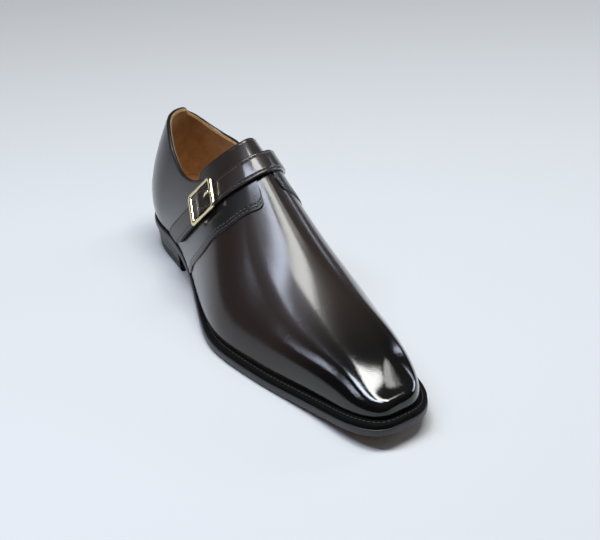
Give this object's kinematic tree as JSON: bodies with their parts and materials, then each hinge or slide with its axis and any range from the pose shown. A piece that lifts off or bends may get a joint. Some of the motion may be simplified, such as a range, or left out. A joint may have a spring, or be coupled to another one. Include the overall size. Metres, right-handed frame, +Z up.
{
  "type": "monk strap shoe",
  "caption": "Polished leather monk strap shoe for the right foot, with a buckled strap over the instep, a squared toe and a stacked heel.",
  "frame": {"origin": "centre of the shoe's outline on the floor", "axes": "+Y from toe to heel, +X towards the inner side of the foot, +Z up"},
  "size_m": [0.1044, 0.3146, 0.1086],
  "materials": {
    "upper_leather": "polished, burnished darker at the toe",
    "strap_leather": "polished",
    "lining_leather": "matt",
    "welt_leather": "dark waxed",
    "sole_leather": "dark stained edge",
    "lift_rubber": "matt",
    "buckle_metal": "polished pale gold"
  },
  "bodies": {
    "root": {"upper": "upper_leather", "tongue": "upper_leather", "back_tab": "upper_leather", "strap": "strap_leather", "buckle_frame": "buckle_metal", "buckle_prong": "buckle_metal", "insole": "lining_leather", "welt": "welt_leather", "outsole": "sole_leather", "heel_stack": "sole_leather", "top_lift": "lift_rubber"}
  },
  "joints": []
}
